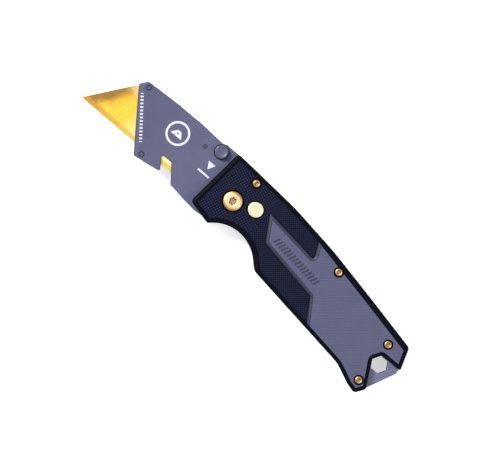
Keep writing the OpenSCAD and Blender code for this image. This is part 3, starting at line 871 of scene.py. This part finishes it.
def print_mask(finish):
    """The printed marks: a ring with a blade in it, an arrow with a bar, and ticks along the nose."""
    x, y = finish.x - ring_at[0], finish.y - ring_at[1]
    reach = (x * x + y * y).maths("SQRT")
    ring = inside(reach - ring_r, 0.45)
    blade = inside(y, 1.3) * inside(x, 1.9 - (y * 0.75))
    slot = 1 - inside(reach, 0.42)
    arrow_y = finish.y - arrow_tip[1]
    arrow = inside(arrow_y - 1.6, 1.55) * inside(finish.x - arrow_tip[0], arrow_y * 0.57)
    bar = inside(finish.y - bar_at[1], 0.4) * inside(finish.x - bar_at[0], 3.0)
    x, y = finish.x - ticks_from[0], finish.y - ticks_from[1]
    run = x * math.cos(nose_lean) + y * math.sin(nose_lean)
    off = x * -math.sin(nose_lean) + y * math.cos(nose_lean)
    tick = inside((run * (1 / tick_pitch)).maths("FRACT") - 0.5, 0.22, 0.05)
    ticks = tick * inside(off, 0.62) * inside(run - 10.9, 10.15)
    return (ring + blade * slot + arrow + bar + ticks).maths("MINIMUM", 1)


def holder_steel(name, marked):
    """Grey coated steel, faintly brushed along the holder, with the front plate's printed marks."""
    finish = Finish(name, Metallic=0.4, Specular_IOR_Level=0.3)
    brushed = finish.noise(1.6, stretch=(0.12, 3, 1), detail=6)
    cloud = finish.noise(0.09)
    shade = finish.between(brushed * 0.4 + cloud * 0.6, 0.3, 0.7)
    # The bevels are painted darker as painted shade
    bevel_shade = finish.between(finish.tilt(), 0.99, 0.96)
    # The plates are painted darker towards the nose and lighter towards the pivot, as painted shading
    shade_along_holder = finish.between(finish.x, -60, -10, 0.82, 1.12)
    colour = finish.blend(shade, (0.077, 0.079, 0.142), (0.099, 0.101, 0.172))
    shaded = {"Vector": colour, "Scale": shade_along_holder}
    colour = finish.add("ShaderNodeVectorMath", {"operation": "SCALE"}, shaded)
    colour = finish.blend(bevel_shade * 0.8, colour, (0.040, 0.034, 0.040))
    if marked:
        printed = print_mask(finish)
        colour = finish.blend(printed, colour, (0.60, 0.58, 0.74))
        finish.feed("Metallic", 0.4 - 0.4 * printed)
    finish.feed("Base Color", colour)
    finish.feed("Roughness", finish.between(brushed, 0.3, 0.7, 0.40, 0.52))
    finish.feed("Normal", finish.bump(brushed, 0.01, 0.25))
    return finish


broken_edge, ground_edge, edge_depth = 0.2 * mm, 1.0 * mm, 0.32 * mm
hole_chamfer = 0.05 * mm
plate_edges = [ground_edge if i == nose_side else broken_edge for i in range(len(plate_shape))]
front_steel = holder_steel("holder_steel_printed", True)
rear_steel = holder_steel("holder_steel_plain", False)
for side, finish in (("front", front_steel), ("rear", rear_steel)):
    node = "holder_" + side + "_plate"
    rings = [
        rounded(plate_shape, middle_z + plate_low),
        rounded(plate_shape, middle_z + plate_top - edge_depth),
        rounded(inset(plate_shape, plate_edges), middle_z + plate_top)
    ]
    bm = bmesh.new()
    add_shell(bm, rings)
    plate = piece_from(side + "_plate_bevelled", bm)
    outer_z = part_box(node)[1 if side == "front" else 0].z
    holes = [hole_of(loop) for loop in outlines(node, outer_z)[1:]]
    bits = [bore(at, radius, plate_low - edge, plate_top, hole_chamfer) for at, radius in holes]
    plate = drilled(plate, bits)
    if side == "rear":
        turned_over(plate)
    finish.on(plate)
    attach(plate, "blade_holder")
    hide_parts(node)


# The blade is the usual trapezoid of hardened strip, ground along its edge and coated gold. Its colour
# turns from yellow to brown towards the raked end, partly the coating's own tint and partly painted shade.
blade_gold = Finish("blade_gold", Metallic=1.0)
scratch = blade_gold.noise(2.2, stretch=(0.15, 2.5, 1), turn=0.3, detail=6)
cloud = blade_gold.noise(0.16, detail=2)
tip = (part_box("blade")[0] - pivot) / mm
blade_height = 19
ground_top = tip.y + 2
end_lean = (0.795, 0.607)
inward = (blade_gold.x - tip.x) * end_lean[0] - (blade_gold.y - tip.y) * end_lean[1]
upward = (blade_gold.y - tip.y) * (1 / blade_height)
# The brown towards the raked end is partly the coating's tint and partly painted shade
coat_tint_and_shade = blade_gold.between(inward + cloud * 4 + scratch * 1.5 + upward * upward * 2.4, 3.4, 10.5)
colour = blade_gold.ramp(coat_tint_and_shade, [
    (0.0, (0.34, 0.19, 0.045)), (0.28, (0.36, 0.20, 0.055)),
    (0.6, (0.84, 0.48, 0.06)), (1.0, (0.86, 0.64, 0.075))
])
# A pale patch along the top near the tip is a painted highlight
painted_highlight_top = blade_gold.between(upward, 0.74, 0.95) * blade_gold.between(blade_gold.x, -67, -60)
colour = blade_gold.blend(painted_highlight_top * 0.85, colour, (0.97, 0.74, 0.36))
# The blade is painted paler towards the holder, partly the coating's tint and partly painted reflection
end_tint_and_reflection = blade_gold.between(blade_gold.x, -56, -47)
colour = blade_gold.blend(end_tint_and_reflection * 0.9, colour, (0.98, 0.89, 0.46))
edge_band = blade_gold.between(ground_top - blade_gold.y + cloud * 0.8, 0.2, 0.5)
along_edge = blade_gold.between(blade_gold.x - tip.x, 8, 32)
edge_gold = blade_gold.blend(along_edge, (0.80, 0.39, 0.075), (0.93, 0.68, 0.13))
colour = blade_gold.blend(edge_band * 0.8, colour, edge_gold)
streak = blade_gold.noise(3.2, stretch=(0.1, 2.2, 1), turn=-0.75, detail=5)
colour = blade_gold.blend(blade_gold.between(streak, 0.52, 0.72) * 0.4, colour, (0.50, 0.27, 0.05))
blade_gold.feed("Base Color", colour)
blade_gold.feed("Roughness", blade_gold.between(scratch, 0.3, 0.7, 0.26, 0.42))
blade_gold.feed("Normal", blade_gold.bump(scratch, 0.01, 0.3))
blade_gold.on(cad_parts["blade"])


# Gold screws with six-lobed sockets hold the scales: four small ones on each side, and the pivot, whose
# screw and barrel have the same broad head. They are turned steel with a gold coating, painted pale on top
# and darker down the shoulder and in the socket as painted shade.
head_sides = 72


def lobed(radius, z):
    """A ring that follows a six-lobed socket round the origin."""
    turns = [2 * math.pi * k / head_sides for k in range(head_sides)]
    reach = [radius * (0.87 + 0.13 * math.cos(6 * a)) for a in turns]
    return [Vector((r * math.cos(a), r * math.sin(a), z)) for a, r in zip(turns, reach)]


def headed(name, head_r, head_low, head_top, shank_r, shank_end, socket_r):
    """A button-headed screw, its head up, on the axis through the origin."""
    high = head_top - head_low
    crown = ((1, 0.5), (0.98, 0.4), (0.93, 0.26), (0.85, 0.16), (0.75, 0.07), (0.67, 0))
    profile = [
        (shank_r - 0.15 * mm, shank_end), (shank_r, shank_end + 0.15 * mm), (shank_r, head_low),
        (head_r - 0.06 * mm, head_low), (head_r, head_low + 0.06 * mm)
    ]
    profile += [(across * head_r, head_top - down * high) for across, down in crown]
    profile += [(1.15 * socket_r, head_top), (1.07 * socket_r, head_top - 0.05 * mm)]
    rings = [circle(r, Vector((0, 0)), z, head_sides) for r, z in profile]
    rings.append(lobed(socket_r, head_top - 0.1 * mm))
    rings.append(lobed(0.76 * socket_r, head_top - 0.55 * high))
    rings.append(lobed(0.4 * socket_r, head_top - 0.62 * high))
    bm = bmesh.new()
    add_shell(bm, rings)
    return piece_from(name, bm, math.radians(28))


def coated_gold(name, face, shoulder, socket, rough, top, depth):
    """Gold-coated steel with fine scratches: a pale face, a warmer shoulder and a copper-brown socket,
    painted darker with depth and near black on steep walls as painted shade.
    """
    finish = Finish(name, Metallic=1.0)
    cloud = finish.noise(0.5, detail=3)
    scratch = finish.noise(5, stretch=(1, 0.4, 1), turn=0.6)
    # The colour darkens with depth below the top, as painted shade down the shoulder and in the socket
    depth_shade = (top / mm - abs(finish.z)) * (mm / depth)
    stops = [(0.05, face), (0.28, shoulder), (0.55, shoulder), (0.8, socket)]
    colour = finish.ramp(depth_shade + cloud * 0.1, stops)
    # Steep walls are painted near black as painted shade
    steep_shade = finish.between(finish.tilt(), 0.78, 0.5)
    colour = finish.blend(steep_shade, colour, tuple(0.1 * v for v in socket))
    finish.feed("Base Color", colour)
    finish.feed("Roughness", finish.between(scratch, 0.3, 0.7, rough, rough + 0.12))
    finish.feed("Normal", finish.bump(scratch, 0.01, 0.3))
    return finish


set_out = Recipe("set_out", Fastener="Object", Most_Turn="Float", Finish="Material")
given = set_out.given
shown = set_out.add("GeometryNodeObjectInfo", {}, {"Object": given["Fastener"]})
spots = set_out.add("GeometryNodeMeshToPoints", {}, {"Mesh": given["Geometry"]})
chance = {"Min": 0.0, "Max": given["Most Turn"], "Seed": 7}
turn = set_out.add("FunctionNodeRandomValue", {"data_type": "FLOAT"}, chance)
row = set_out.add("GeometryNodeInstanceOnPoints", {}, {
    "Points": spots, "Instance": shown["Geometry"],
    "Rotation": set_out.add("ShaderNodeCombineXYZ", {}, {"Z": turn})
})
set_out.ends(row, given["Finish"])

screw_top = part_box("front_screws")[1].z - middle_z
pivot_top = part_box("pivot_screw")[1].z - middle_z
screw_gold = coated_gold(
    "screw_gold", (0.62, 0.43, 0.23), (0.52, 0.29, 0.11), (0.30, 0.17, 0.07), 0.32, screw_top, 0.5 * mm
)
pivot_gold = coated_gold(
    "pivot_gold", (0.74, 0.63, 0.36), (0.62, 0.35, 0.13), (0.43, 0.23, 0.13), 0.32, pivot_top, 0.62 * mm
)
small_head_r, small_shank_r, small_shank_end, small_socket_r = 1.7 * mm, 1.0 * mm, 1.0 * mm, 0.95 * mm

for side in ("front", "rear"):
    screw = headed(
        "screw", small_head_r, screw_seat, screw_top, small_shank_r, small_shank_end, small_socket_r
    )
    row = blank(side + "_screw_set")
    row.data.from_pydata([(p.x, p.y, middle_z) for p in screw_places], [], [])
    set_out.cook(row, Fastener=screw, Most_Turn=math.radians(60), Finish=screw_gold.material)
    bpy.data.objects.remove(screw)
    if side == "rear":
        turned_over(row)
    screw_gold.on(row)
    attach(row, "handle")
    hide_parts(side + "_screws")

head_r = (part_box("pivot_screw")[1].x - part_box("pivot_screw")[0].x) / 2
pivot_socket_r, thread_r, barrel_r = 1.65 * mm, 1.5 * mm, 2.5 * mm
thread_end, barrel_end = 0.05 * mm, 0.1 * mm - pivot_seat
screw = headed("pivot_screw_head", head_r, pivot_seat, pivot_top, thread_r, thread_end, pivot_socket_r)
barrel = headed("pivot_barrel_head", head_r, pivot_seat, pivot_top, barrel_r, barrel_end, pivot_socket_r)
for piece, node in ((screw, "pivot_screw"), (barrel, "pivot_barrel")):
    piece.data.transform(Matrix.Translation((pivot.x, pivot.y, middle_z)))
    if node == "pivot_barrel":
        turned_over(piece)
    pivot_gold.on(piece)
    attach(piece, "handle")
    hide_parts(node)


# The lock button is a turned steel plug, coated pale gold, with a face that is dished a little for the
# thumb. Its flange is wider than the scale's hole, and its stem reaches down to the lock leaf.
button_low, button_high = (v.z - middle_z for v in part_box("lock_button"))
flange_high = 5.01 * mm
flange_low = flange_high - 0.6 * mm
stem_r, flange_r, cap_r = 1.3 * mm, 3.9 * mm, 3.3 * mm
# The button's gold is painted darker with depth below its face and near black on steep walls, as painted
# shade
button_gold = coated_gold(
    "button_gold", (0.90, 0.86, 0.58), (0.86, 0.70, 0.30), (0.30, 0.18, 0.05), 0.26, button_high, 1.0 * mm
)
bm = bmesh.new()
add_turned(bm, [
    (stem_r - 0.15 * mm, button_low), (stem_r, button_low + 0.15 * mm), (stem_r, flange_low),
    (flange_r - 0.05 * mm, flange_low), (flange_r, flange_low + 0.05 * mm),
    (flange_r, flange_high - 0.05 * mm), (flange_r - 0.05 * mm, flange_high),
    (cap_r, flange_high), (cap_r, button_high - 0.32 * mm),
    (cap_r - 0.05 * mm, button_high - 0.18 * mm), (cap_r - 0.18 * mm, button_high - 0.07 * mm),
    (cap_r - 0.4 * mm, button_high - 0.01 * mm), (cap_r - 0.6 * mm, button_high),
    (1.2 * mm, button_high - 0.03 * mm), (0.3 * mm, button_high - 0.04 * mm)
], button_at, 96)
button = piece_from("lock_button_turned", bm)
button_gold.on(button)
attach(button, "lock_button")
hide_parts("lock_button")


# The release stud is a turned steel knob on the release lever, coated grey like the holder. Its neck passes
# through a round hole in the front plate, and its head has a rolled shoulder and a shallow dish.
stud_low, stud_high = (v.z - middle_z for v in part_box("release_stud"))
stud_at = (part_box("release_stud")[0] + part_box("release_stud")[1]).xy / 2
lever_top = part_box("release_lever")[1].z - middle_z
skirt_z = plate_top + 0.06 * mm
waist_z = skirt_z + 0.55 * mm
stud_steel = Finish("stud_steel", Metallic=0.4, Specular_IOR_Level=0.3)
across = stud_steel.x - (stud_at.x - pivot.x) / mm
up = stud_steel.y - (stud_at.y - pivot.y) / mm
turning = ((across * across + up * up).maths("SQRT") * 26).maths("SINE") * 0.5 + 0.5
cloud = stud_steel.noise(0.6)
face = stud_steel.blend(turning * 0.3 + cloud * 0.7, (0.070, 0.070, 0.120), (0.105, 0.104, 0.168))
# Everything a little below the knob's face is painted near black, as painted shade on the flank, neck and
# skirt
flank_shade = stud_steel.between(abs(stud_steel.z), (stud_high - 0.25 * mm) / mm, (stud_high - 0.6 * mm) / mm)
stud_steel.feed("Base Color", stud_steel.blend(flank_shade, face, (0.006, 0.006, 0.013)))
stud_steel.feed("Roughness", stud_steel.between(cloud, 0.3, 0.7, 0.36, 0.5))
stud_steel.feed("Normal", stud_steel.bump(turning, 0.012, 0.4))
root_r, neck_r, skirt_r, knob_r = 0.9 * mm, 1.5 * mm, 3.25 * mm, 2.9 * mm
bm = bmesh.new()
add_turned(bm, [
    (root_r, stud_low), (root_r, lever_top), (neck_r, lever_top), (neck_r, skirt_z),
    (skirt_r - 0.1 * mm, skirt_z), (skirt_r, skirt_z + 0.1 * mm), (skirt_r, skirt_z + 0.4 * mm),
    (skirt_r - 0.1 * mm, skirt_z + 0.5 * mm), (knob_r - 0.15 * mm, waist_z),
    (knob_r - 0.2 * mm, waist_z + 0.15 * mm), (knob_r, waist_z + 0.3 * mm), (knob_r, stud_high - 0.4 * mm),
    (knob_r - 0.08 * mm, stud_high - 0.2 * mm), (knob_r - 0.25 * mm, stud_high - 0.06 * mm),
    (knob_r - 0.5 * mm, stud_high), (knob_r - 0.7 * mm, stud_high), (2.0 * mm, stud_high - 0.1 * mm),
    (1.2 * mm, stud_high - 0.2 * mm), (0.3 * mm, stud_high - 0.22 * mm)
], stud_at, 96)
stud = piece_from("release_stud_turned", bm)
stud_steel.on(stud)
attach(stud, "release_lever")
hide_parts("release_stud")


# Two steel rivets hold the nose of the holder together, one at each corner. Both their ends are set flush
# with the plates, and the setting tool leaves a fine ring in them.
rivet_low, rivet_top = (v.z - middle_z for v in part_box("holder_rivets"))
rivet_steel = Finish("rivet_steel", Metallic=0.4, Specular_IOR_Level=0.3)
cloud = rivet_steel.noise(0.5)
grain = rivet_steel.noise(6, detail=3)
face = rivet_steel.blend(cloud, (0.075, 0.077, 0.132), (0.095, 0.097, 0.160))
# The set ring's groove is painted near black as painted shade
ring = rivet_steel.between(abs(rivet_steel.z), rivet_top / mm - 0.03, rivet_top / mm - 0.09)
rivet_steel.feed("Base Color", rivet_steel.blend(ring, face, (0.006, 0.006, 0.012)))
rivet_steel.feed("Roughness", rivet_steel.between(grain, 0.3, 0.7, 0.38, 0.52))
rivet_steel.feed("Normal", rivet_steel.bump(grain, 0.01, 0.3))
bm = bmesh.new()
for at, radius in (hole_of(loop) for loop in outlines("holder_rivets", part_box("holder_rivets")[1].z)):
    end = [(radius - 0.62 * mm, 0), (radius - 0.55 * mm, 0.14 * mm), (radius - 0.32 * mm, 0.14 * mm),
           (radius - 0.25 * mm, 0), (radius - 0.05 * mm, 0), (radius, 0.05 * mm)]
    add_turned(bm, [(r, rivet_low + z) for r, z in end] + [(r, rivet_top - z) for r, z in end[::-1]], at, 48)
rivets = piece_from("holder_rivets_set", bm)
rivet_steel.on(rivets)
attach(rivets, "blade_holder")
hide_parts("holder_rivets")


# The remaining pieces lie inside: steel liners and the dark spacer between them, bronze washers, the
# holder's core with its nose rings, the lever and the plain pins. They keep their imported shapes, with
# brushed finishes.
def plain_metal(name, low, high, rough, metallic=1.0):
    """Metal that is faintly brushed along the knife, between two tints."""
    finish = Finish(name, Metallic=metallic)
    brushed = finish.noise(1.8, stretch=(0.15, 3, 1), detail=6)
    cloud = finish.noise(0.15)
    shade = finish.between(brushed * 0.5 + cloud * 0.5, 0.3, 0.7)
    finish.feed("Base Color", finish.blend(shade, low, high))
    finish.feed("Roughness", finish.between(brushed, 0.3, 0.7, rough, rough + 0.14))
    finish.feed("Normal", finish.bump(brushed, 0.012, 0.3))
    return finish


spring_steel = plain_metal("spring_steel", (0.42, 0.43, 0.48), (0.55, 0.56, 0.60), 0.25)
liner_steel = plain_metal("liner_steel", (0.115, 0.118, 0.195), (0.155, 0.158, 0.245), 0.38, 0.5)
spacer_dark = plain_metal("spacer_dark", (0.012, 0.012, 0.018), (0.022, 0.022, 0.03), 0.5, 0.0)
stop_steel = plain_metal("stop_steel", (0.42, 0.42, 0.46), (0.55, 0.55, 0.58), 0.25)
washer_bronze = plain_metal("washer_bronze", (0.62, 0.38, 0.16), (0.78, 0.52, 0.24), 0.3)
core_steel = plain_metal("core_steel", (0.14, 0.145, 0.21), (0.19, 0.195, 0.27), 0.4, 0.6)
pin_steel = plain_metal("pin_steel", (0.030, 0.031, 0.058), (0.048, 0.049, 0.085), 0.4, 0.4)
lever_steel = plain_metal("lever_steel", (0.34, 0.34, 0.38), (0.44, 0.44, 0.48), 0.32)
for finish, *nodes in (
    (liner_steel, "front_liner", "rear_liner"), (spacer_dark, "back_spacer"),
    (stop_steel, "stop_pin", "leaf_rivets"), (washer_bronze, "front_washer", "rear_washer"),
    (core_steel, "tang_core", "nose_spacers"), (pin_steel, "lever_pin"), (lever_steel, "release_lever")
):
    finish.on(*(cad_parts[node] for node in nodes))


# The lock leaf and the lever's spring are cut from spring strip and bend in use. The leaf is riveted at its
# root and the button pushes its front end down; the spring's long end follows the lever.
def bending_strip(name, node, root, moved):
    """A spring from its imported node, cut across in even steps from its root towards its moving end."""
    bm = bmesh.new()
    bm.from_mesh(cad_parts[node].data)
    bmesh.ops.remove_doubles(bm, verts=bm.verts, dist=weld_gap)
    lengths = 12
    for k in range(1, lengths):
        whole = [*bm.verts, *bm.edges, *bm.faces]
        place = root.lerp(moved, k / lengths)
        bmesh.ops.bisect_plane(bm, geom=whole, plane_co=place, plane_no=moved - root)
    strip = piece_from(name, bm)
    spring_steel.on(strip)
    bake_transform(strip)
    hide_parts(node)


leaf_root = Vector((pivot.x + 35 * mm, button_at.y, middle_z))
leaf_tip = Vector((*button_at, middle_z))
bending_strip("lock_leaf_strip", "lock_leaf", leaf_root, leaf_tip)
spring_low, spring_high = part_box("lever_spring")
spring_root = Vector((spring_high.x, spring_low.y, middle_z))
spring_tip = Vector((spring_low.x, spring_low.y, middle_z))
bending_strip("lever_spring_strip", "lever_spring", spring_root, spring_tip)
